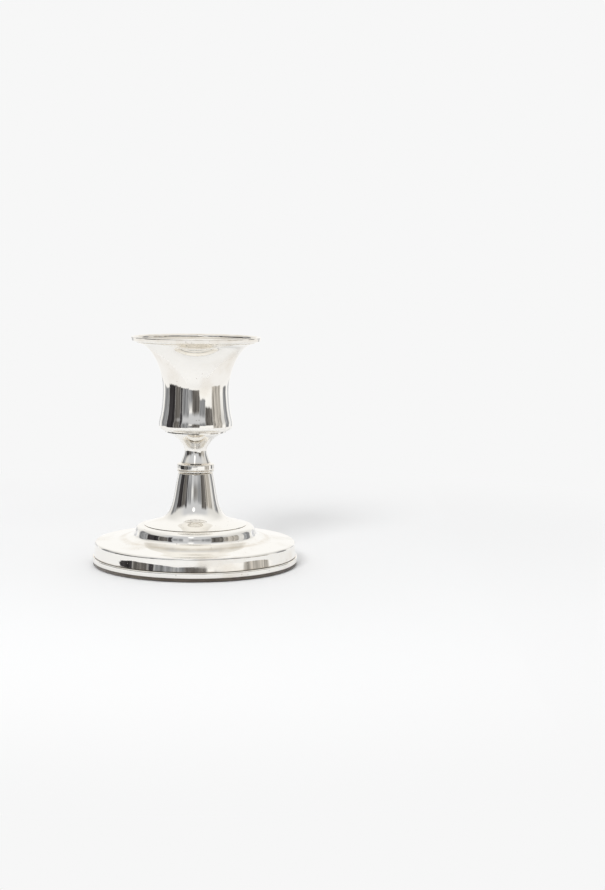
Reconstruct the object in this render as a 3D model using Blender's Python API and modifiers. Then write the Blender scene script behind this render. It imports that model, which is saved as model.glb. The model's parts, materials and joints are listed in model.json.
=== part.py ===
"""A short silver-plated candlestick with a weighted base.

Every piece is turned about the Z axis. The origin is the middle of the felt's
underside, +Z is up, and lengths are in metres. One steel rod draws the cup,
the neck, the collar, the column and the base together.
"""

import math

import bpy

# Overall size.
HEIGHT = 0.0900
RIM_RADIUS = 0.0255
BASE_RADIUS = 0.0406

# The candle that the socket is made for is 22.2 mm (7/8 inch) thick.
CANDLE_RADIUS = 0.0111
SOCKET_RADIUS = CANDLE_RADIUS + 0.0002
SOCKET_DEPTH = 0.0260

# Sheet, clearance and rod.
GAP = 0.0003
CUP_WALL = 0.0007
COLUMN_WALL = 0.0005
BASE_WALL = 0.0008
LINER_WALL = 0.0006
ROD_RADIUS = 0.0020
ROD_HOLE = ROD_RADIUS + GAP

# Heights of the joints between the stacked pieces, from the bottom up.
FELT_TOP = 0.0012
FOOT_WIRE_TOP = 0.0034
FLANGE_EDGE = 0.0091
SHOULDER_FOOT = 0.0116
SHOULDER_TOP = 0.0156
COLUMN_TOP = 0.0364
COLLAR_TOP = 0.0399
NECK_TOP = 0.0528
RIM_UNDERSIDE = 0.0884

# Radii where the outline steps.
BAND_RADIUS = 0.0397
FOOT_WIRE_INNER = BASE_RADIUS - 0.0022
SHOULDER_FOOT_RADIUS = 0.0243
COLUMN_FOOT_RADIUS = 0.0202
COLUMN_TOP_RADIUS = 0.0069
COLLAR_RADIUS = 0.0074
NECK_RADIUS = 0.0044
CUP_FOOT_RADIUS = 0.0121
CUP_WAIST_RADIUS = 0.0131

# The collar's lower reed, and the lip that lies in the cup's flare.
LOWER_REED = 0.0008
LIP_RADIUS = 0.0166
LIP_BEND = 0.0016

# Fastenings on the rod's lower end, stacked on the felt and the card.
CARD_HEIGHT = 0.0010
NUT_ACROSS_FLATS = 0.0070
NUT_HEIGHT = 0.0030
LOCK_WASHER_RADIUS = 0.0036
LOCK_WASHER_HEIGHT = 0.0009
CLAMP_WASHER_RADIUS = 0.0085
CLAMP_WASHER_HEIGHT = 0.0010
ROD_BOTTOM = FELT_TOP + GAP + CARD_HEIGHT + GAP
NUT_BOTTOM = ROD_BOTTOM + 0.0004
LOCK_WASHER_BOTTOM = NUT_BOTTOM + NUT_HEIGHT + GAP
CLAMP_WASHER_BOTTOM = LOCK_WASHER_BOTTOM + LOCK_WASHER_HEIGHT + GAP
CLAMP_WASHER_TOP = CLAMP_WASHER_BOTTOM + CLAMP_WASHER_HEIGHT

# The boss in the bottom of the cup, with the socket's floor above it.
BOSS_RADIUS = 0.0060
BOSS_BOTTOM = NECK_TOP + GAP + CUP_WALL + GAP
BOSS_TOP = BOSS_BOTTOM + 0.0035
SOCKET_FLOOR = BOSS_TOP + GAP + LINER_WALL

TURN_STEPS = 40
FINE_STEPS = 24
SHARP_ANGLE = math.radians(35)


def clear_scene():
    for obj in list(bpy.data.objects):
        bpy.data.objects.remove(obj, do_unlink=True)


def new_collection(name):
    collection = bpy.data.collections.new(name)
    bpy.context.scene.collection.children.link(collection)
    return collection


def make_material(name, colour, metallic, roughness):
    material = bpy.data.materials.new(name)
    material.use_nodes = True
    shader = material.node_tree.nodes["Principled BSDF"]
    shader.inputs["Base Color"].default_value = (*colour, 1.0)
    shader.inputs["Metallic"].default_value = metallic
    shader.inputs["Roughness"].default_value = roughness
    return material


def arc(centre, radius, start, end, steps):
    """Points on a round stretch of an outline; angles are in degrees from +X towards +Z."""
    points = []
    for step in range(steps + 1):
        angle = math.radians(start + (end - start) * step / steps)
        points.append((centre[0] + radius * math.cos(angle), centre[1] + radius * math.sin(angle)))
    return points


def smooth(knots, steps):
    """A Catmull-Rom curve through the knots, with the given number of steps between two knots."""
    first = [2 * knots[0][axis] - knots[1][axis] for axis in (0, 1)]
    last = [2 * knots[-1][axis] - knots[-2][axis] for axis in (0, 1)]
    padded = [first, *knots, last]
    points = []
    for a, b, c, d in zip(padded, padded[1:], padded[2:], padded[3:]):
        for step in range(steps):
            t = step / steps
            points.append(
                tuple(
                    0.5 * (2 * b[i] + (c[i] - a[i]) * t)
                    + 0.5 * (2 * a[i] - 5 * b[i] + 4 * c[i] - d[i]) * t**2
                    + 0.5 * (3 * b[i] - a[i] - 3 * c[i] + d[i]) * t**3
                    for i in (0, 1)
                )
            )
    return [*points, tuple(knots[-1])]


def inset(outline, distance):
    """The outline moved inwards, square to each stretch; it runs down the outer side."""
    normals = []
    for (r0, z0), (r1, z1) in zip(outline, outline[1:]):
        length = math.hypot(r1 - r0, z1 - z0)
        normals.append(((z0 - z1) / length, (r1 - r0) / length))
    befores = [normals[0], *normals]
    afters = [*normals, normals[-1]]
    moved = []
    for (r, z), before, after in zip(outline, befores, afters):
        share = distance / (1 + before[0] * after[0] + before[1] * after[1])
        moved.append((r - share * (before[0] + after[0]), z - share * (before[1] + after[1])))
    return moved


def bake(obj):
    """Turns the modifiers into a plain mesh, smooth except along its real edges."""
    graph = bpy.context.evaluated_depsgraph_get()
    mesh = bpy.data.meshes.new_from_object(obj.evaluated_get(graph))
    obj.modifiers.clear()
    obj.data = mesh
    mesh.shade_smooth()
    mesh.set_sharp_from_angle(angle=SHARP_ANGLE)


def turned(name, outline, material, collection, wall=0.0, steps=TURN_STEPS):
    """A turned piece. The outline of (radius, height) points runs down the outer side.

    With a wall, the outline is the outer face of an open shell; without one it closes on itself.
    """
    count = len(outline)
    edges = [(i, i + 1) for i in range(count - 1)]
    touches_axis = outline[0][0] == 0 and outline[-1][0] == 0
    if not wall and not touches_axis:
        edges.append((count - 1, 0))
    mesh = bpy.data.meshes.new(name)
    mesh.from_pydata([(radius, 0, height) for radius, height in outline], edges, [])
    obj = bpy.data.objects.new(name, mesh)
    collection.objects.link(obj)
    screw = obj.modifiers.new("Turn", "SCREW")
    screw.axis = "Z"
    screw.steps = steps
    screw.render_steps = steps
    screw.use_merge_vertices = True
    screw.merge_threshold = 0.00001
    if wall:
        solidify = obj.modifiers.new("Wall", "SOLIDIFY")
        solidify.thickness = wall
        solidify.offset = -1
    bake(obj)
    obj.data.materials.append(material)
    return obj


def ring(outer, inner, bottom, top):
    """The outline of a plain ring, run down its outer side."""
    return [(outer, top), (outer, bottom), (inner, bottom), (inner, top)]


def move_to(obj, collection):
    for holder in list(obj.users_collection):
        holder.objects.unlink(obj)
    collection.objects.link(obj)


def cut(obj, cutter):
    cutter.hide_render = True
    cutter.display_type = "WIRE"
    boolean = obj.modifiers.new("Cut", "BOOLEAN")
    boolean.operation = "DIFFERENCE"
    boolean.solver = "EXACT"
    boolean.object = cutter
    bake(obj)


def make_felt(felt, parts):
    """A felt disc, a little smaller than the foot wire, with softened edges."""
    edge = 0.0003
    radius = BASE_RADIUS - 0.0002
    outline = [
        (0, FELT_TOP),
        (radius - edge, FELT_TOP),
        (radius, FELT_TOP - edge),
        (radius, edge),
        (radius - edge, 0),
        (0, 0),
    ]
    turned("felt_pad", outline, felt, parts)


def make_foot_wire(silver, parts):
    """A plain wire with a full outer face and softened corners."""
    bottom = FELT_TOP + GAP
    inner = FOOT_WIRE_INNER
    corner = 0.0005
    outline = [
        (inner, FOOT_WIRE_TOP),
        *arc((BASE_RADIUS - corner, FOOT_WIRE_TOP - corner), corner, 90, 10, 3),
        *arc((BASE_RADIUS - corner, bottom + corner), corner, -5, -90, 2),
        (inner, bottom),
    ]
    turned("foot_wire", outline, silver, parts)


def base_outline():
    """The outer face of the base, from the rod hole out and down to the foot wire."""
    shoulder = [
        (COLUMN_FOOT_RADIUS + 0.0004, SHOULDER_TOP),
        (0.0223, SHOULDER_TOP - 0.0003),
        (0.0233, SHOULDER_TOP - 0.0011),
        (SHOULDER_FOOT_RADIUS - 0.0003, SHOULDER_FOOT + 0.0006),
        (SHOULDER_FOOT_RADIUS, SHOULDER_FOOT),
    ]
    flange = [
        (0.0249, 0.0112),
        (0.0260, 0.0108),
        (0.0285, 0.0103),
        (0.0320, 0.0098),
        (0.0360, 0.0094),
    ]
    corner = 0.0012
    flange_edge = arc((BAND_RADIUS - corner, FLANGE_EDGE - corner), corner, 81, 0, 4)
    band = [
        (BAND_RADIUS + 0.0001, 0.0057),
        (BAND_RADIUS + 0.0003, FOOT_WIRE_TOP + GAP),
    ]
    return [(ROD_HOLE, SHOULDER_TOP), *shoulder, *flange, *flange_edge, *band]


def make_base_shell(silver, parts):
    turned("base_shell", base_outline(), silver, parts, BASE_WALL)


def make_base_weight(cement, parts):
    """The filling follows the inside of the base, with a pocket below for the nut."""
    pocket_top = CLAMP_WASHER_TOP + GAP
    pocket_radius = CLAMP_WASHER_RADIUS + 0.0020
    side = inset(base_outline(), BASE_WALL + GAP)
    outline = [
        (ROD_HOLE, side[0][1]),
        *side[1:],
        (pocket_radius, side[-1][1]),
        (pocket_radius, pocket_top),
        (ROD_HOLE, pocket_top),
    ]
    turned("base_weight", outline, cement, parts)


def make_card(card, parts):
    """The card disc that lies on the felt and closes the base."""
    bottom = FELT_TOP + GAP
    radius = FOOT_WIRE_INNER - GAP
    outline = [(0, bottom + CARD_HEIGHT), (radius, bottom + CARD_HEIGHT), (radius, bottom), (0, bottom)]
    turned("base_card", outline, card, parts)


def make_nut(steel, parts, cutters):
    corner = NUT_ACROSS_FLATS / math.sqrt(3)
    top = NUT_BOTTOM + NUT_HEIGHT
    over = top + 0.001
    blank = [(0, top), (corner, top), (corner, NUT_BOTTOM), (0, NUT_BOTTOM)]
    nut = turned("clamp_nut", blank, steel, parts, steps=6)
    hole = [(0, over), (ROD_HOLE, over), (ROD_HOLE, ROD_BOTTOM), (0, ROD_BOTTOM)]
    cut(nut, turned("nut_bore", hole, steel, cutters, steps=FINE_STEPS))


def make_washers(steel, parts, cutters):
    """A split spring washer on the nut, and the large washer that bears on the filling."""
    top = LOCK_WASHER_BOTTOM + LOCK_WASHER_HEIGHT
    outline = ring(LOCK_WASHER_RADIUS, ROD_HOLE, LOCK_WASHER_BOTTOM, top)
    lock_washer = turned("lock_washer", outline, steel, parts, steps=FINE_STEPS)
    bpy.ops.mesh.primitive_cube_add(size=1, location=(LOCK_WASHER_RADIUS, 0, top))
    split = bpy.context.object
    split.name = "washer_split"
    split.scale = (2 * (LOCK_WASHER_RADIUS - ROD_HOLE) + 0.001, 0.0008, 4 * LOCK_WASHER_HEIGHT)
    move_to(split, cutters)
    cut(lock_washer, split)
    outline = ring(CLAMP_WASHER_RADIUS, ROD_HOLE, CLAMP_WASHER_BOTTOM, CLAMP_WASHER_TOP)
    turned("clamp_washer", outline, steel, parts, steps=FINE_STEPS)


def column_outline():
    """The outer face of the column, from its turned-in top to the edge of its wide foot."""
    corner = 0.0005
    top = arc((COLUMN_TOP_RADIUS - corner, COLUMN_TOP - corner), corner, 90, 0, 2)
    side = smooth(
        [
            (COLUMN_TOP_RADIUS, COLUMN_TOP - corner),
            (0.0076, 0.0325),
            (0.0086, 0.0268),
            (0.0102, 0.0215),
            (0.0128, 0.0184),
            (0.0166, 0.0170),
            (COLUMN_FOOT_RADIUS, SHOULDER_TOP + GAP + COLUMN_WALL),
        ],
        2,
    )
    return [(ROD_HOLE, COLUMN_TOP), *top, *side[1:]]


def make_column(silver, brass, parts):
    turned("column_shell", column_outline(), silver, parts, COLUMN_WALL)
    plug_top = COLUMN_TOP - COLUMN_WALL - GAP
    plug_bottom = 0.0280
    turned(
        "column_plug",
        [
            (COLUMN_TOP_RADIUS - COLUMN_WALL - 0.0004, plug_top),
            (0.0071, plug_bottom),
            (ROD_HOLE, plug_bottom),
            (ROD_HOLE, plug_top),
        ],
        brass,
        parts,
        steps=FINE_STEPS,
    )
    tube = ring(ROD_HOLE + 0.0012, ROD_HOLE, SHOULDER_TOP + GAP, plug_bottom - GAP)
    turned("distance_tube", tube, brass, parts, steps=FINE_STEPS)


def make_collar(silver, parts):
    """Two reeds with a fine groove between them."""
    bottom = COLUMN_TOP + GAP
    groove = bottom + LOWER_REED
    outline = [
        (COLLAR_RADIUS - 0.0012, COLLAR_TOP),
        *arc((COLLAR_RADIUS - 0.0005, COLLAR_TOP - 0.0005), 0.0005, 90, 0, 3),
        (COLLAR_RADIUS, groove + 0.0005),
        (COLLAR_RADIUS - 0.0005, groove),
        *arc((COLLAR_RADIUS - 0.0005, (bottom + groove) / 2), (groove - bottom) / 2, 60, -90, 3),
        (ROD_HOLE, bottom),
        (ROD_HOLE, COLLAR_TOP),
    ]
    turned("collar_ring", outline, silver, parts)


def make_neck(silver, parts):
    """A solid spool: a wide trumpet above, the narrow neck, and a short flare below."""
    bottom = COLLAR_TOP + GAP
    side = smooth(
        [
            (CUP_FOOT_RADIUS, NECK_TOP - 0.0003),
            (0.0096, 0.0514),
            (0.0070, 0.0496),
            (0.0052, 0.0473),
            (NECK_RADIUS, 0.0454),
            (0.0048, 0.0430),
            (0.0059, bottom),
        ],
        2,
    )
    outline = [(CUP_FOOT_RADIUS, NECK_TOP), *side, (ROD_HOLE, bottom), (ROD_HOLE, NECK_TOP)]
    turned("neck_spool", outline, silver, parts)


def cup_outline():
    """The outer face of the cup, from under the rim to the hole in its bottom."""
    floor = NECK_TOP + GAP
    side = smooth(
        [
            (RIM_RADIUS - 0.0021, RIM_UNDERSIDE - 0.0007),
            (0.0208, 0.0867),
            (0.0179, 0.0841),
            (0.0154, 0.0800),
            (0.0139, 0.0758),
            (CUP_WAIST_RADIUS, 0.0705),
            (0.0133, 0.0640),
            (0.0140, 0.0590),
            (0.0147, 0.0558),
        ],
        2,
    )
    corner = 0.0022
    lower_corner = arc((0.0146 - corner, floor + corner), corner, -10, -90, 3)
    return [*side, *lower_corner, (ROD_HOLE, floor)]


def make_cup(silver, brass, parts):
    turned("cup_shell", cup_outline(), silver, parts, CUP_WALL)
    boss = ring(BOSS_RADIUS, ROD_HOLE, BOSS_BOTTOM, BOSS_TOP)
    turned("cup_boss", boss, brass, parts, steps=FINE_STEPS)


def make_tie_rod(steel, parts):
    chamfer = 0.0004
    outline = [
        (0, BOSS_TOP),
        (ROD_RADIUS - chamfer, BOSS_TOP),
        (ROD_RADIUS, BOSS_TOP - chamfer),
        (ROD_RADIUS, ROD_BOTTOM + chamfer),
        (ROD_RADIUS - chamfer, ROD_BOTTOM),
        (0, ROD_BOTTOM),
    ]
    turned("tie_rod", outline, steel, parts, steps=FINE_STEPS)


def make_liner(silver, parts):
    """The drawn socket: a flat floor, a straight wall and a lip that lies in the cup's flare."""
    inner = SOCKET_RADIUS
    outer = inner + LINER_WALL
    floor_top = SOCKET_FLOOR
    mouth = floor_top + SOCKET_DEPTH
    under_lip = mouth - LINER_WALL
    bend_centre = (outer + LIP_BEND, under_lip - LIP_BEND)
    outline = [
        (0, floor_top),
        (inner, floor_top),
        *arc(bend_centre, LIP_BEND + LINER_WALL, 180, 90, 3),
        (LIP_RADIUS, mouth),
        (LIP_RADIUS, under_lip),
        *arc(bend_centre, LIP_BEND, 90, 180, 3),
        (outer, floor_top),
        (outer - LINER_WALL, floor_top - LINER_WALL),
        (0, floor_top - LINER_WALL),
    ]
    turned("candle_liner", outline, silver, parts)


def make_rim(silver, parts):
    """A thick plain edge: an upright outer face, undercut a little, with a dished top."""
    inner = RIM_RADIUS - 0.0018
    corner = 0.0003
    outline = [
        (inner + 0.0003, HEIGHT - 0.0003),
        (RIM_RADIUS - 0.0009, HEIGHT),
        *arc((RIM_RADIUS - corner, HEIGHT - corner), corner, 90, 0, 2),
        (RIM_RADIUS - 0.0002, RIM_UNDERSIDE + 0.0001),
        (RIM_RADIUS - 0.0005, RIM_UNDERSIDE - 0.0001),
        (inner, RIM_UNDERSIDE - 0.0006),
        (inner, HEIGHT - 0.0009),
    ]
    turned("rim_wire", outline, silver, parts)


def build():
    clear_scene()
    parts = new_collection("silver_candlestick")
    cutters = new_collection("cutters")

    silver = make_material("silver_plate", (0.93, 0.91, 0.87), 1.0, 0.08)
    brass = make_material("bare_brass", (0.78, 0.62, 0.32), 1.0, 0.30)
    steel = make_material("zinc_steel", (0.55, 0.56, 0.58), 1.0, 0.35)
    cement = make_material("cast_filling", (0.62, 0.59, 0.54), 0.0, 0.90)
    card = make_material("grey_card", (0.42, 0.38, 0.32), 0.0, 0.85)
    felt = make_material("dark_felt", (0.055, 0.048, 0.040), 0.0, 0.95)

    make_felt(felt, parts)
    make_card(card, parts)
    make_foot_wire(silver, parts)
    make_base_shell(silver, parts)
    make_base_weight(cement, parts)
    make_nut(steel, parts, cutters)
    make_washers(steel, parts, cutters)
    make_column(silver, brass, parts)
    make_collar(silver, parts)
    make_neck(silver, parts)
    make_cup(silver, brass, parts)
    make_tie_rod(steel, parts)
    make_liner(silver, parts)
    make_rim(silver, parts)


build()
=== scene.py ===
"""A short silver-plated candlestick on a pale studio floor.

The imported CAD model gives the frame. Each outer piece is turned again here with
a much finer outline, and every piece gets a procedural material. Lengths are in
metres; outlines are lists of (radius, height) points that run down the outer side.
"""

import json
import math

import bpy
import numpy as np
from mathutils import Matrix, Vector, noise

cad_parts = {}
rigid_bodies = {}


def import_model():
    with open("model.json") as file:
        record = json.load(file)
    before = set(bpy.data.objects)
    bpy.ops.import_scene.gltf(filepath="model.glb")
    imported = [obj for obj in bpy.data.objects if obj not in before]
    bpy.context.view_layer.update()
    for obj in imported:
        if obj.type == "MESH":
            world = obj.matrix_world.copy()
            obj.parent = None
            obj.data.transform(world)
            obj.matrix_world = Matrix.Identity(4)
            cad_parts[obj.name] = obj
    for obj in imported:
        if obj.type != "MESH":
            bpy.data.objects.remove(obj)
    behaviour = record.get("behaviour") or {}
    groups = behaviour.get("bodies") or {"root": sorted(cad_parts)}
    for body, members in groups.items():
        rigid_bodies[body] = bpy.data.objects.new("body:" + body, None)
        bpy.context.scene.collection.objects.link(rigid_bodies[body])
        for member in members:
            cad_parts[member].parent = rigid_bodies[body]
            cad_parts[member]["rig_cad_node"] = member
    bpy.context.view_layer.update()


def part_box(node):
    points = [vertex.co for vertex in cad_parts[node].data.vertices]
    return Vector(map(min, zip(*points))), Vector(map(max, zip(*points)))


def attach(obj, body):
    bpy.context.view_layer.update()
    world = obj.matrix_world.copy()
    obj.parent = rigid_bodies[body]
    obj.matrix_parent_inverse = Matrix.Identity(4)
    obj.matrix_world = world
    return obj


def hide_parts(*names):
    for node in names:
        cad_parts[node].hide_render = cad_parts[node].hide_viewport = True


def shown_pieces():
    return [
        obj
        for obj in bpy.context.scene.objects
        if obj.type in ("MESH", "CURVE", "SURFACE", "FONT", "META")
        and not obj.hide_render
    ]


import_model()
nodes_by_name = {obj["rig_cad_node"]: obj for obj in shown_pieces() if "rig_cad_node" in obj}

TURN_STEPS = 256
SHARP_ANGLE = math.radians(38)

# Heights and radii that the CAD model fixes.
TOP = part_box("rim_wire")[1][2]
RIM_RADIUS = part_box("rim_wire")[1][0]
FELT_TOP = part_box("felt_pad")[1][2]
FOOT_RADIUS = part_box("foot_wire")[1][0]
FOOT_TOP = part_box("foot_wire")[1][2]
BASE_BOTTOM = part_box("base_shell")[0][2]
SHOULDER_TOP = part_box("base_shell")[1][2]
COLUMN_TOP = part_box("column_shell")[1][2]
COLLAR_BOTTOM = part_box("collar_ring")[0][2]
COLLAR_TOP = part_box("collar_ring")[1][2]
COLLAR_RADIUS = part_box("collar_ring")[1][0]
NECK_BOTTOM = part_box("neck_spool")[0][2]
NECK_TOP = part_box("neck_spool")[1][2]
CUP_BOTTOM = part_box("cup_shell")[0][2]
LINER_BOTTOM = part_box("candle_liner")[0][2]
LINER_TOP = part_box("candle_liner")[1][2]

# Sizes inside the CAD solids, which their boxes don't give.
ROD_HOLE = 0.0023
CUP_WALL = 0.0007
COLUMN_WALL = 0.0005
BASE_WALL = 0.0008
LINER_WALL = 0.0006
COLLAR_GROOVE = COLLAR_BOTTOM + 0.0008

# A point this near the one before is left out, and one this near the axis counts as on it.
SAME_POINT = 2e-6
ON_AXIS = 1e-7


# Outlines


def arc(centre, radius, start, end, steps):
    """Points on a round stretch; angles are in degrees from +X towards +Z."""
    angles = [math.radians(start + (end - start) * i / steps) for i in range(steps + 1)]
    return [(centre[0] + radius * math.cos(a), centre[1] + radius * math.sin(a)) for a in angles]


def spline(knots, steps, start=None, end=None):
    """A cubic with continuous curvature through the knots; start and end are directions."""
    at = np.array(knots, float)
    length = np.linalg.norm(np.diff(at, axis=0), axis=1)
    last = len(at) - 1
    system = np.zeros((last + 1, last + 1))
    wanted = np.zeros((last + 1, 2))
    for i in range(1, last):
        before, after = length[i - 1], length[i]
        system[i, i - 1 : i + 2] = (after, 2 * (before + after), before)
        wanted[i] = 3 * (after * (at[i] - at[i - 1]) / before + before * (at[i + 1] - at[i]) / after)
    for row, other, sign, given in ((0, 1, 1, start), (last, last - 1, -1, end)):
        if given is None:
            system[row, row], system[row, other] = 2, 1
            wanted[row] = 3 * sign * (at[other] - at[row]) / length[min(row, other)]
        else:
            system[row, row] = 1
            wanted[row] = np.array(given) / np.linalg.norm(given)
    slope = np.linalg.solve(system, wanted)
    points = []
    for i in range(last):
        for t in np.arange(steps) / steps:
            t2, t3 = t * t, t * t * t
            point = (2 * t3 - 3 * t2 + 1) * at[i] + (3 * t2 - 2 * t3) * at[i + 1]
            point = point + length[i] * ((t3 - 2 * t2 + t) * slope[i] + (t3 - t2) * slope[i + 1])
            points.append(tuple(point))
    return [*points, tuple(at[-1])]


def even(outline, spacing):
    """The outline with extra points on every stretch longer than the spacing."""
    points = [outline[0]]
    for (r0, z0), (r1, z1) in zip(outline, outline[1:]):
        count = max(1, math.ceil(math.hypot(r1 - r0, z1 - z0) / spacing))
        points += [(r0 + (r1 - r0) * i / count, z0 + (z1 - z0) * i / count) for i in range(1, count + 1)]
    return points


def inset(outline, distance):
    """The outline moved inwards, square to each stretch."""
    points = np.array(outline)
    along = np.diff(points, axis=0)
    along /= np.linalg.norm(along, axis=1)[:, None]
    normals = np.stack([-along[:, 1], along[:, 0]], 1)
    before = np.vstack([normals[:1], normals])
    after = np.vstack([normals, normals[-1:]])
    share = distance / (1 + (before * after).sum(1))
    return [tuple(p) for p in points - (before + after) * share[:, None]]


def base_outline():
    """From the shoulder's flat top, over the shoulder and the flange, to the foot of the band."""
    shoulder = spline(
        [
            (0.0206, SHOULDER_TOP),
            (0.0223, 0.0153),
            (0.0233, 0.0145),
            (0.0240, 0.0122),
            (0.0243, 0.0116),
            (0.0249, 0.0112),
            (0.0260, 0.01083),
            (0.0285, 0.0103),
            (0.0320, 0.0098),
            (0.0360, 0.00933),
            (0.0386, 0.00911),
        ],
        8,
    )
    corner = 0.0010
    band_radius = 0.0397
    upright_top = 0.0081
    edge = arc((band_radius - corner, upright_top), corner, 81, 0, 22)
    # Below its upright top the band widens ever faster towards the foot wire.
    flare_top = 0.0077
    flare, power = 0.42, 1.3
    steps = 16
    drops = [(flare_top - BASE_BOTTOM) * i / steps for i in range(steps + 1)]
    band = [(band_radius + flare * drop**power, flare_top - drop) for drop in drops]
    return [(ROD_HOLE, SHOULDER_TOP), (0.0190, SHOULDER_TOP), *shoulder, *edge, *band]


def column_outline():
    top = arc((0.0064, COLUMN_TOP - 0.0005), 0.0005, 90, 0, 10)
    knots = [
        top[-1],
        (0.0076, 0.0325),
        (0.0086, 0.0268),
        (0.0102, 0.0215),
        (0.0128, 0.0184),
        (0.0166, 0.0170),
        (0.0203, SHOULDER_TOP + 0.0002),
    ]
    return [(ROD_HOLE, COLUMN_TOP), *top, *spline(knots, 16)[1:]]


def cup_outline():
    knots = [
        (0.0234, 0.0877),
        (0.0208, 0.0867),
        (0.0179, 0.0841),
        (0.0154, 0.0800),
        (0.0139, 0.0758),
        (0.0131, 0.0705),
        (0.0133, 0.0640),
        (0.0140, 0.0590),
        (0.0146, 0.0560),
    ]
    corner = arc((0.0124, CUP_BOTTOM + 0.0022), 0.0022, 0, -90, 24)
    return [*spline(knots, 16, end=(0.06, -1)), *corner[1:], (ROD_HOLE, CUP_BOTTOM)]


def neck_outline():
    knots = [
        (0.0121, NECK_TOP - 0.0003),
        (0.0096, 0.0514),
        (0.0070, 0.0496),
        (0.0052, 0.0473),
        (0.0044, 0.0454),
        (0.0048, 0.0430),
        (0.0059, NECK_BOTTOM),
    ]
    edge = arc((0.0119, CUP_BOTTOM - 0.00025), 0.0002, 90, 0, 6)
    return [(ROD_HOLE, CUP_BOTTOM - 0.00005), *edge, *spline(knots, 16), (ROD_HOLE, NECK_BOTTOM)]


def collar_outline():
    bend = 0.0005
    reed = 0.0004
    low = COLLAR_RADIUS - bend
    return [
        (ROD_HOLE, COLLAR_TOP),
        *arc((low, COLLAR_TOP - bend), bend, 90, 0, 10),
        *arc((low, COLLAR_GROOVE + bend), bend, 0, -70, 8),
        *arc((low, (COLLAR_BOTTOM + COLLAR_GROOVE) / 2), reed, 70, -90, 14),
        (ROD_HOLE, COLLAR_BOTTOM),
    ]


# Meshes


def waver(obj, amount):
    """Moves the surface by a few microns in long soft waves, as worn metal is never quite true."""
    if not amount:
        return
    long_wave, short_wave = 95, 260
    for vertex in obj.data.vertices:
        co = vertex.co
        shift = noise.noise(co * long_wave) + 0.45 * noise.noise(co * short_wave + Vector((7, 3, 1)))
        reach = math.hypot(co.x, co.y) or 1
        vertex.co = co + Vector((co.x / reach, co.y / reach, 0.6)) * shift * amount


def lathe(name, outline, closed=False, spacing=0.0006, wave=0.000006, steps=TURN_STEPS):
    """A turned mesh. A closed outline is a ring round the axis; an open one starts and ends on it."""
    if closed:
        outline = [*outline, outline[0]]
    points = np.array(even(outline, spacing))
    if closed:
        points = points[:-1]
    keep = [0] + [i for i in range(1, len(points)) if np.hypot(*(points[i] - points[i - 1])) > SAME_POINT]
    points = points[keep]
    angles = np.arange(steps) * 2 * math.pi / steps
    verts, rings = [], []
    for r, z in points:
        if r < ON_AXIS:
            rings.append([len(verts)])
            verts.append((0, 0, z))
        else:
            rings.append(list(range(len(verts), len(verts) + steps)))
            verts += [(r * math.cos(a), r * math.sin(a), z) for a in angles]
    faces = []
    pairs = list(zip(rings, rings[1:]))
    if closed:
        pairs.append((rings[-1], rings[0]))
    for above, below in pairs:
        for i in range(steps):
            j = (i + 1) % steps
            if len(above) == 1:
                faces.append((above[0], below[i], below[j]))
            elif len(below) == 1:
                faces.append((above[i], below[0], above[j]))
            else:
                faces.append((above[i], below[i], below[j], above[j]))
    mesh = bpy.data.meshes.new(name)
    mesh.from_pydata(verts, [], faces)
    mesh.update()
    obj = bpy.data.objects.new(name, mesh)
    bpy.context.scene.collection.objects.link(obj)
    waver(obj, wave)
    mesh.shade_smooth()
    mesh.set_sharp_from_angle(angle=SHARP_ANGLE)
    return obj


def shell(name, outline, wall, lowest=0.0, **options):
    """A turned sheet piece: the outline is its outer face, and no point is below the lowest height."""
    inner = [(r, max(z, lowest)) for r, z in inset(outline, wall)]
    return lathe(name, [*outline, *reversed(inner)], closed=True, **options)


def settle(obj, material, slot, *nodes):
    """Gives the piece its material and its place in the frame: what it rides and what it replaces. The
    slot argument is not used.
    """
    obj.data.materials.append(material)
    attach(obj, "root")
    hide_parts(*nodes)
    return obj


# Shader helpers


class Tree:
    """A short way to add nodes and link them."""

    def __init__(self, owner):
        owner.use_nodes = True
        self.nodes = owner.node_tree.nodes
        self.links = owner.node_tree.links

    def add(self, kind, inputs=(), **settings):
        node = self.nodes.new("ShaderNode" + kind)
        for key, value in settings.items():
            setattr(node, key, value)
        for key, value in dict(inputs).items():
            if isinstance(value, bpy.types.NodeSocket):
                self.links.new(value, node.inputs[key])
            else:
                node.inputs[key].default_value = value
        return node

    def math(self, operation, *values, clamp=False):
        return self.add("Math", dict(enumerate(values)), operation=operation, use_clamp=clamp).outputs[0]

    def span(self, value, low, high, out_low=0.0, out_high=1.0, smooth=True):
        inputs = {"Value": value, "From Min": low, "From Max": high, "To Min": out_low, "To Max": out_high}
        kind = "SMOOTHSTEP" if smooth else "LINEAR"
        return self.add("MapRange", inputs, interpolation_type=kind).outputs["Result"]

    def mix(self, factor, a, b):
        node = self.add("Mix", {0: factor, 6: a, 7: b}, data_type="RGBA")
        return node.outputs[2]

    def noise(self, vector, scale, detail=3.0, rough=0.5, **inputs):
        found = {"Vector": vector, "Scale": scale, "Detail": detail, "Roughness": rough, **inputs}
        return self.add("TexNoise", found).outputs["Fac"]

    def stretch(self, vector, scale, rotation=(0.0, 0.0, 0.0)):
        return self.add("Mapping", {"Vector": vector, "Rotation": rotation, "Scale": scale}).outputs[0]

    def bump(self, shader, height, strength, distance):
        node = self.add("Bump", {"Height": height, "Strength": strength, "Distance": distance})
        self.links.new(node.outputs[0], shader.inputs["Normal"])


def new_material(name):
    """A new material, the tree of its nodes, and its Principled shader."""
    material = bpy.data.materials.new(name)
    tree = Tree(material)
    return material, tree, tree.nodes["Principled BSDF"]


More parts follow.
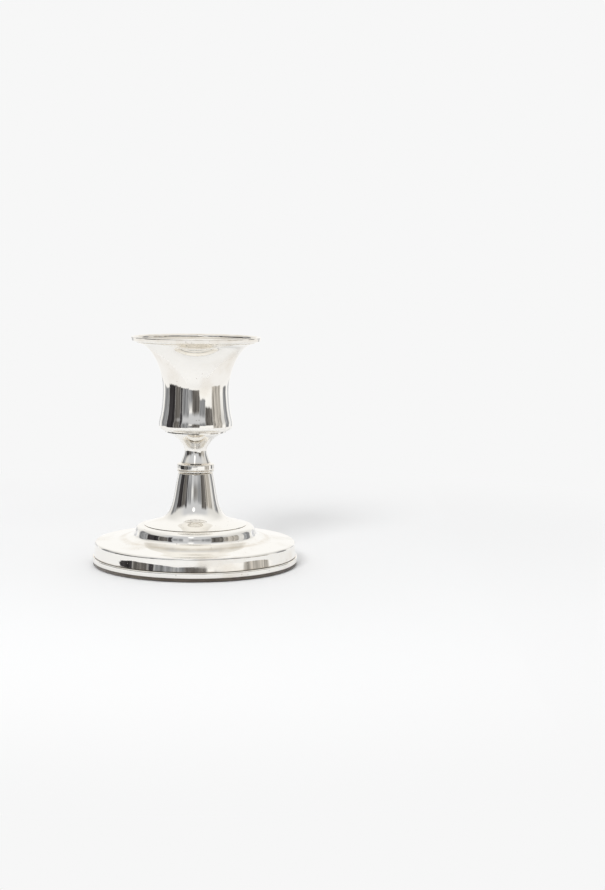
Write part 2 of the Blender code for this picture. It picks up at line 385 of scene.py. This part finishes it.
SILVER = (0.945, 0.925, 0.885)
YELLOWED_SILVER = (0.90, 0.86, 0.78)
TARNISH_BROWN = (0.62, 0.52, 0.38)
PIT_BROWN = (0.22, 0.17, 0.12)


def silver(name, tarnish_heights=(), tarnish=0.5, wear=1.0, tint=SILVER):
    """Polished plate: smudges, hairlines, pin pricks, and brown tarnish near the given heights."""
    material, tree, shader = new_material(name)
    place = tree.add("TexCoord").outputs["Object"]
    x, y, z = tree.add("SeparateXYZ", {0: place}).outputs
    radius = tree.math("SQRT", tree.math("ADD", tree.math("POWER", x, 2.0), tree.math("POWER", y, 2.0)))
    turned = tree.math("MULTIPLY", tree.math("ARCTAN2", y, x), 0.02)
    round_it = tree.add("CombineXYZ", {0: turned, 1: radius, 2: z}).outputs[0]

    cloud = tree.noise(place, 70.0, 4.0, 0.55)
    patch = tree.noise(place, 240.0, 3.0, 0.6)
    stain = tree.span(cloud, 0.50, 0.78, 0.0, 0.30)
    crevice = 0.0
    for height, reach in tarnish_heights:
        gap = tree.math("ABSOLUTE", tree.math("SUBTRACT", z, height))
        crevice = tree.math("MAXIMUM", tree.span(gap, reach, 0.0), crevice)
    if tarnish_heights:
        uneven = tree.span(patch, 0.30, 0.70, 0.35, 1.0)
        brown = tree.math("MULTIPLY", tree.math("MULTIPLY", crevice, uneven), tarnish)
        stain = tree.math("MAXIMUM", stain, brown)

    specks = tree.add("TexVoronoi", {"Vector": place, "Scale": 900.0, "Randomness": 1.0})
    lot = tree.add("SeparateColor", {0: specks.outputs["Color"]}).outputs[0]
    chosen = tree.math("GREATER_THAN", lot, 0.93)
    dot = tree.math("MULTIPLY", tree.math("LESS_THAN", specks.outputs["Distance"], 0.16), chosen)

    worn = tree.mix(stain, (*tint, 1), (*TARNISH_BROWN, 1))
    spotted = tree.mix(tree.math("MULTIPLY", dot, 0.65 * wear), worn, (*PIT_BROWN, 1))
    tree.links.new(spotted, shader.inputs["Base Color"])
    shader.inputs["Metallic"].default_value = 1.0

    turning = tree.noise(tree.stretch(round_it, (6.0, 900.0, 2600.0)), 1.0, 2.0)
    scratches = tree.noise(tree.stretch(place, (2400.0, 90.0, 700.0), (0.5, 0.9, 0.3)), 1.0, 2.0, 0.7)
    hairlines = tree.span(scratches, 0.64, 0.76)
    smudge = tree.span(cloud, 0.40, 0.72, 0.014, 0.05)
    rough = tree.math("ADD", smudge, tree.math("MULTIPLY", hairlines, 0.09 * wear))
    rough = tree.math("ADD", rough, tree.math("MULTIPLY", stain, 0.16))
    rough = tree.math("ADD", rough, tree.math("MULTIPLY", dot, 0.3), clamp=True)
    tree.links.new(rough, shader.inputs["Roughness"])

    height = tree.math("MULTIPLY", turning, 0.35)
    height = tree.math("SUBTRACT", height, tree.math("MULTIPLY", hairlines, 0.5))
    height = tree.math("SUBTRACT", height, tree.math("MULTIPLY", dot, 2.5))
    tree.bump(shader, height, 0.35 * wear, 0.0000035)
    return material


def felt_material():
    """Dark wool: fine tangled fibres with a few faded clouds."""
    material, tree, shader = new_material("wool_felt")
    place = tree.add("TexCoord").outputs["Object"]
    fibres = tree.noise(place, 2600.0, 5.0, 0.75, Distortion=1.2)
    cloud = tree.noise(place, 160.0, 4.0, 0.6)
    dark = tree.mix(fibres, (0.018, 0.014, 0.011, 1), (0.15, 0.12, 0.09, 1))
    faded = tree.mix(tree.span(cloud, 0.35, 0.75, 0.0, 0.5), dark, (0.16, 0.13, 0.10, 1))
    tree.links.new(faded, shader.inputs["Base Color"])
    shader.inputs["Roughness"].default_value = 0.96
    shader.inputs["Sheen Weight"].default_value = 0.5
    shader.inputs["Sheen Roughness"].default_value = 0.5
    tree.bump(shader, fibres, 0.8, 0.0003)
    return material


def plain_metal(name, light, dark, roughness):
    """Turned or rolled metal with fine tool lines and dull patches."""
    material, tree, shader = new_material(name)
    place = tree.add("TexCoord").outputs["Object"]
    cloud = tree.noise(place, 300.0, 5.0, 0.6)
    lines = tree.noise(tree.stretch(place, (60.0, 60.0, 5200.0)), 1.0, 3.0)
    dulled = tree.mix(tree.span(cloud, 0.3, 0.7), (*light, 1), (*dark, 1))
    tree.links.new(dulled, shader.inputs["Base Color"])
    tree.links.new(tree.span(cloud, 0.3, 0.7, roughness, roughness + 0.22), shader.inputs["Roughness"])
    shader.inputs["Metallic"].default_value = 1.0
    tree.bump(shader, lines, 0.4, 0.00004)
    return material


def grainy(name, light, dark, scale, bump_distance):
    """A dull material with coarse and fine grain, for the filling and the card."""
    material, tree, shader = new_material(name)
    place = tree.add("TexCoord").outputs["Object"]
    coarse = tree.noise(place, scale, 6.0, 0.65)
    pits = tree.add("TexVoronoi", {"Vector": place, "Scale": scale * 3}).outputs["Distance"]
    mottled = tree.mix(tree.span(coarse, 0.3, 0.7), (*light, 1), (*dark, 1))
    tree.links.new(mottled, shader.inputs["Base Color"])
    shader.inputs["Roughness"].default_value = 0.92
    height = tree.math("ADD", coarse, tree.math("MULTIPLY", pits, 0.5))
    tree.bump(shader, height, 0.7, bump_distance)
    return material


# The candlestick


def make_felt(material):
    radius = FOOT_RADIUS - 0.0002
    soft = 0.0004
    outline = [
        (0, FELT_TOP),
        *arc((radius - soft, FELT_TOP - soft), soft, 90, 0, 5),
        *arc((radius - soft, soft), soft, 0, -90, 5),
        (0, 0),
    ]
    felt = lathe("felt_disc", outline, spacing=0.0012, wave=0)
    fringe = 0.0006
    fine, coarse = 0.00016, 0.00012
    for vertex in felt.data.vertices:
        co = vertex.co
        reach = math.hypot(co.x, co.y)
        if reach > radius - fringe:
            frayed = fine * (noise.noise(co * 1500) - 0.6) + coarse * noise.noise(co * 300)
            vertex.co = Vector((co.x * (1 + frayed / reach), co.y * (1 + frayed / reach), co.z))
    return settle(felt, material, "dark_felt", "felt_pad")


def make_foot(material):
    corner = 0.0005
    width = 0.0022
    inner = FOOT_RADIUS - width
    outline = [
        (inner, FOOT_TOP),
        *arc((FOOT_RADIUS - corner, FOOT_TOP - corner), corner, 90, 8, 10),
        *arc((FOOT_RADIUS - corner, FELT_TOP + corner), corner, -4, -90, 10),
        (inner, FELT_TOP),
    ]
    return settle(lathe("foot_edge", outline, closed=True), material, "silver_plate", "foot_wire")


def make_liner(material):
    inner = 0.0113
    wall = LINER_WALL
    bend = 0.0016
    floor_corner = 0.0008
    chamfer = 0.0006
    lip_radius = 0.0163
    under = LINER_TOP - wall
    centre = (inner + wall + bend, under - bend)
    outline = [
        (0, LINER_BOTTOM + wall),
        (inner - floor_corner, LINER_BOTTOM + wall),
        *arc((inner - floor_corner, LINER_BOTTOM + wall + floor_corner), floor_corner, -90, 0, 6),
        *arc(centre, bend + wall, 180, 90, 16),
        (lip_radius, LINER_TOP),
        *arc((lip_radius, LINER_TOP - wall / 2), wall / 2, 90, -90, 8),
        *arc(centre, bend, 90, 180, 12),
        (inner + wall, LINER_BOTTOM + chamfer),
        (inner + wall - chamfer, LINER_BOTTOM),
        (0, LINER_BOTTOM),
    ]
    return settle(lathe("candle_socket", outline), material, "silver_plate", "candle_liner")


def make_rim(material):
    width = 0.0018
    inner = RIM_RADIUS - width
    corner = 0.0003
    outline = [
        (inner, TOP - 0.0009),
        (inner + 0.0001, TOP - 0.0006),
        (inner + 0.0003, TOP - 0.0003),
        (inner + 0.0006, TOP - 0.0001),
        (inner + 0.0009, TOP),
        *arc((RIM_RADIUS - corner, TOP - corner), corner, 90, 0, 10),
        (RIM_RADIUS - 0.0001, TOP - 0.0009),
        (RIM_RADIUS - 0.0002, TOP - 0.0015),
        (RIM_RADIUS - 0.0005, TOP - 0.0017),
        (inner + 0.0004, TOP - 0.0020),
        (inner, TOP - 0.0021),
    ]
    return settle(lathe("rim_edge", outline, closed=True), material, "silver_plate", "rim_wire")


def build_candlestick():
    """Every outer piece turned anew, and new finishes on the nodes that stay inside."""
    cup_plate = silver("cup_plate", [(TOP, 0.0030)], 0.35)
    stem_tarnish = [(NECK_BOTTOM, 0.0008), (COLLAR_GROOVE, 0.0005), (COLUMN_TOP, 0.0007)]
    stem_plate = silver("stem_plate", stem_tarnish, 0.6)
    column_edge = SHOULDER_TOP + 0.0004
    inner_flange = 0.0103
    foot_tarnish = [(column_edge, 0.0006), (inner_flange, 0.0004), (BASE_BOTTOM, 0.0006)]
    foot_plate = silver("foot_plate", foot_tarnish, 0.55)
    socket_plate = silver("socket_plate", [(LINER_BOTTOM, 0.0060)], 0.8, tint=YELLOWED_SILVER)

    make_felt(felt_material())
    make_foot(foot_plate)
    base = shell("base_dish", base_outline(), BASE_WALL, spacing=0.0009)
    settle(base, foot_plate, "silver_plate", "base_shell")
    column = shell("column_skin", column_outline(), COLUMN_WALL, lowest=SHOULDER_TOP + 0.00005)
    settle(column, stem_plate, "silver_plate", "column_shell")
    collar = lathe("collar_reeds", collar_outline(), closed=True, spacing=0.0004)
    settle(collar, stem_plate, "silver_plate", "collar_ring")
    neck = lathe("neck_trumpet", neck_outline(), closed=True)
    settle(neck, stem_plate, "silver_plate", "neck_spool")
    cup = shell("cup_skin", cup_outline(), CUP_WALL)
    settle(cup, cup_plate, "silver_plate", "cup_shell")
    make_liner(socket_plate)
    make_rim(cup_plate)

    brass = plain_metal("turned_brass", (0.80, 0.60, 0.27), (0.52, 0.36, 0.15), 0.22)
    zinc = plain_metal("zinc_plate", (0.60, 0.61, 0.62), (0.36, 0.37, 0.40), 0.28)
    filling = grainy("cast_plaster", (0.66, 0.63, 0.57), (0.46, 0.43, 0.38), 420.0, 0.0004)
    card = grainy("grey_board", (0.44, 0.40, 0.33), (0.30, 0.27, 0.22), 1500.0, 0.0001)
    finishes = {
        "cup_boss": brass,
        "column_plug": brass,
        "distance_tube": brass,
        "tie_rod": zinc,
        "clamp_nut": zinc,
        "lock_washer": zinc,
        "clamp_washer": zinc,
        "base_weight": filling,
        "base_card": card,
    }
    for node, material in finishes.items():
        for holder in nodes_by_name[node].material_slots:
            holder.material = material


# The studio

FLOOR_RADIUS = 0.45
ROOM_RADIUS = 3.0
PALE = (0.930, 0.930, 0.930, 1)
PAPER_COLOUR = (0.895, 0.90, 0.91, 1)
TENT_LEVEL = 1.06
TENT_WHITE = (0.96, 0.955, 0.94)
TENT_SHADE = (0.70, 0.695, 0.68)
TENT_FRONT = (0.58, 0.59, 0.61)
PAPER = (0.89, 0.885, 0.88)
SOFT_BOX = (1.3, 1.3, 1.3)
LAMP_HOOD = (0.60, 0.57, 0.52)
BLACK_CLOTH = (0.032, 0.030, 0.032)
DARK_WOOD = (0.11, 0.104, 0.098)
GREY_WALL = (0.22, 0.225, 0.235)
CURTAIN = (0.38, 0.36, 0.33)

# Upright panels that show through the white tent's openings and give the polish its contrast,
# as (left and right azimuth, foot and top elevation, shade). Degrees, from the front towards +X.
PANELS = [
    (-160, -140, -8, 7, TENT_FRONT),
    (-130, -100, -8, 24, GREY_WALL),
    (-100, -70, -12, 20, BLACK_CLOTH),
    (-70, -50, -12, 20, DARK_WOOD),
    (-50, -42, -10, 24, BLACK_CLOTH),
    (-42, -20, -10, 16, GREY_WALL),
    (-20, -6, -8, 5, GREY_WALL),
    (-8, 16, -8, 13, DARK_WOOD),
    (16, 35, 1, 16, GREY_WALL),
    (35, 60, 5, 28, DARK_WOOD),
    (60, 95, -12, 22, CURTAIN),
    (110, 130, -8, 22, GREY_WALL),
    (140, 158, -8, 7, TENT_FRONT),
]
# The lamp's diffuser in the tent's front: azimuth, elevation and angular radius.
SOFT_BOX_PLACE = (-5, 33, 7)


def add_streaks(tree, colour, turn, rise):
    """Fine upright lines in a panel's colour, as of folds and boards."""
    across = tree.math("MULTIPLY", turn, 0.16)
    along = tree.math("MULTIPLY", rise, 0.02)
    spread = tree.add("CombineXYZ", {0: across, 1: along}).outputs[0]
    gain = tree.span(tree.noise(spread, 1.0, 4.0, 0.65), 0.30, 0.70, 0.30, 2.1, smooth=False)
    return tree.add("VectorMath", {0: colour, "Scale": gain}, operation="SCALE").outputs[0]


def add_tent(tree, turn, rise):
    """White cloth that is greyer at its sides and front, over pale paper and under the lamp's hood."""
    aside = tree.math("ABSOLUTE", turn)
    flank = tree.math("MULTIPLY", tree.span(aside, 35, 80), tree.span(aside, 165, 120))
    belt = tree.math("MULTIPLY", tree.span(rise, 75, 25), tree.span(rise, -6, 10))
    room = tree.mix(tree.math("MULTIPLY", flank, belt), (*TENT_WHITE, 1), (*TENT_SHADE, 1))
    front = tree.math("MULTIPLY", tree.span(aside, 85, 50), tree.span(rise, 62, 40))
    room = tree.mix(tree.math("MULTIPLY", front, tree.span(rise, 8, 14)), room, (*TENT_FRONT, 1))
    room = tree.mix(tree.span(rise, -4, -14), room, (*PAPER, 1))
    return tree.mix(tree.span(rise, 72, 88), room, (*LAMP_HOOD, 1))


def add_soft_box(tree, room, turn, rise):
    box_turn, box_rise, box_radius = SOFT_BOX_PLACE
    off_turn = tree.math("POWER", tree.math("SUBTRACT", turn, box_turn), 2.0)
    off_rise = tree.math("POWER", tree.math("SUBTRACT", rise, box_rise), 2.0)
    off = tree.math("SQRT", tree.math("ADD", off_turn, off_rise))
    return tree.mix(tree.span(off, box_radius + 2, box_radius - 2), room, (*SOFT_BOX, 1))


def add_panels(tree, room, facing, turn, rise):
    """The panels, with ragged sides and tops, as of cloth and furniture."""
    ragged = tree.math("SUBTRACT", tree.noise(facing, 9.0, 4.0, 0.6), 0.5)
    edge_turn = tree.math("MULTIPLY_ADD", ragged, 5.0, turn)
    edge_rise = tree.math("MULTIPLY_ADD", ragged, 7.0, rise)
    for left, right, foot, top, shade in PANELS:
        from_left = tree.span(edge_turn, left - 2, left + 2)
        from_right = tree.span(edge_turn, right + 2, right - 2)
        from_foot = tree.span(rise, foot - 1, foot + 1)
        from_top = tree.span(edge_rise, top + 6, top - 5)
        across = tree.math("MULTIPLY", from_left, from_right)
        upward = tree.math("MULTIPLY", from_foot, from_top)
        cover = tree.math("MULTIPLY", across, upward)
        room = tree.mix(cover, room, add_streaks(tree, shade, turn, rise))
    return room


def build_world():
    """A white tent all round with a soft box in it, and the panels in its openings."""
    world = bpy.data.worlds.new("studio")
    bpy.context.scene.world = world
    tree = Tree(world)
    facing = tree.add("TexCoord").outputs["Generated"]
    wobble = tree.math("SUBTRACT", tree.noise(facing, 4.0, 3.0), 0.5)
    x, y, z = tree.add("SeparateXYZ", {0: facing}).outputs
    in_degrees = 180 / math.pi
    turn = tree.math("MULTIPLY", tree.math("ARCTAN2", x, tree.math("MULTIPLY", y, -1.0)), in_degrees)
    turn = tree.math("ADD", turn, tree.math("MULTIPLY", wobble, 4.0))
    rise = tree.math("MULTIPLY", tree.math("ARCSINE", z), in_degrees)
    rise = tree.math("ADD", rise, tree.math("MULTIPLY", wobble, 5.0))
    room = add_tent(tree, turn, rise)
    room = add_soft_box(tree, room, turn, rise)
    room = add_panels(tree, room, facing, turn, rise)
    out = tree.nodes["Background"]
    tree.links.new(room, out.inputs["Color"])
    out.inputs["Strength"].default_value = TENT_LEVEL


def stage_mesh(name, verts, faces):
    """A sheet of the floor or the backdrop."""
    mesh = bpy.data.meshes.new(name)
    mesh.from_pydata(verts, [], faces)
    obj = bpy.data.objects.new(name, mesh)
    bpy.context.scene.collection.objects.link(obj)
    return obj


def stage_ring(name, inner, outer, height=-0.0002, rise=0.0):
    """A ring round the axis, flat or upright, or a disc where inner is 0."""
    steps = 96
    angles = [2 * math.pi * i / steps for i in range(steps)]
    rim = [(outer * math.cos(a), outer * math.sin(a), height + rise) for a in angles]
    if inner == 0:
        return stage_mesh(name, rim, [tuple(range(steps))])
    edge = [(inner * math.cos(a), inner * math.sin(a), height) for a in angles]
    faces = [(i, steps + i, steps + (i + 1) % steps, (i + 1) % steps) for i in range(steps)]
    return stage_mesh(name, [*edge, *rim], faces)


def build_floor():
    """Pale paper that fades into an even glow. The camera sees a wide sheet, the silver a narrow strip."""
    paper, tree, shader = new_material("pale_paper")
    place = tree.add("TexCoord").outputs["Object"]
    reach = tree.add("VectorMath", {0: place}, operation="LENGTH").outputs["Value"]
    shader.inputs["Base Color"].default_value = PAPER_COLOUR
    shader.inputs["Roughness"].default_value = 0.9
    shader.inputs["Specular IOR Level"].default_value = 0.2
    glow = tree.add("Emission", {"Color": PALE})
    fade = tree.span(reach, 0.12, 0.30)
    blend = tree.add("MixShader", {0: fade, 1: shader.outputs[0], 2: glow.outputs[0]})
    tree.links.new(blend.outputs[0], tree.nodes["Material Output"].inputs["Surface"])
    half_width, front, back = 0.11, -0.38, 0.30
    corners = [(-half_width, front), (half_width, front), (half_width, back), (-half_width, back)]
    strip = stage_mesh("paper_strip", [(x, y, -0.0001) for x, y in corners], [(0, 1, 2, 3)])
    strip.data.materials.append(paper)
    strip.visible_camera = False
    strip.visible_diffuse = False
    strip.visible_shadow = False
    sheet = stage_ring("paper_floor", 0, FLOOR_RADIUS)
    sheet.data.materials.append(paper)
    sheet.visible_glossy = False


def build_surround():
    """An even pale room past the paper, which only the camera sees."""
    surround, tree, _ = new_material("pale_surround")
    glow = tree.add("Emission", {"Color": PALE})
    tree.links.new(glow.outputs[0], tree.nodes["Material Output"].inputs["Surface"])
    far_floor = stage_ring("far_floor", FLOOR_RADIUS, ROOM_RADIUS)
    wall = stage_ring("backdrop", ROOM_RADIUS, ROOM_RADIUS, rise=ROOM_RADIUS)
    lid = stage_ring("ceiling", 0, ROOM_RADIUS, ROOM_RADIUS)
    for obj in (far_floor, wall, lid):
        obj.data.materials.append(surround)
        obj.visible_glossy = False
        obj.visible_diffuse = False
        obj.visible_shadow = False
        obj.visible_transmission = False


def build_light():
    """One round soft lamp, from the front, above and to the left."""
    data = bpy.data.lights.new("soft_key", "AREA")
    data.shape = "DISK"
    data.size = 0.50
    data.energy = 11.0
    light = bpy.data.objects.new("soft_key", data)
    light.location = (-0.45, -1.25, 0.95)
    target = Vector((0, 0, 0.04))
    light.rotation_euler = (target - light.location).to_track_quat("-Z", "Y").to_euler()
    light.visible_glossy = False
    light.visible_camera = False
    bpy.context.scene.collection.objects.link(light)


def build_camera():
    """The view of the object from the front, a little above and to its right, with a slight roll."""
    data = bpy.data.cameras.new("camera")
    data.sensor_width = 36.0
    data.lens = 65.9
    data.clip_start = 0.01
    data.clip_end = 20.0
    camera = bpy.data.objects.new("camera", data)
    bpy.context.scene.collection.objects.link(camera)
    place = (0.0422, -0.640, 0.1195)
    pitch = 0.1118
    roll = 0.0121
    right = Vector((1, 0, 0))
    up = Vector((0, math.sin(pitch), math.cos(pitch)))
    forward = Vector((0, math.cos(pitch), -math.sin(pitch)))
    side = math.cos(roll) * right + math.sin(roll) * up
    top = -math.sin(roll) * right + math.cos(roll) * up
    turn = Matrix((side, top, -forward)).transposed()
    camera.matrix_world = Matrix.Translation(place) @ turn.to_4x4()
    bpy.context.scene.camera = camera


bpy.context.scene.view_settings.view_transform = "Standard"
build_camera()
build_world()
build_floor()
build_surround()
build_light()
build_candlestick()

bpy.context.view_layer.update()
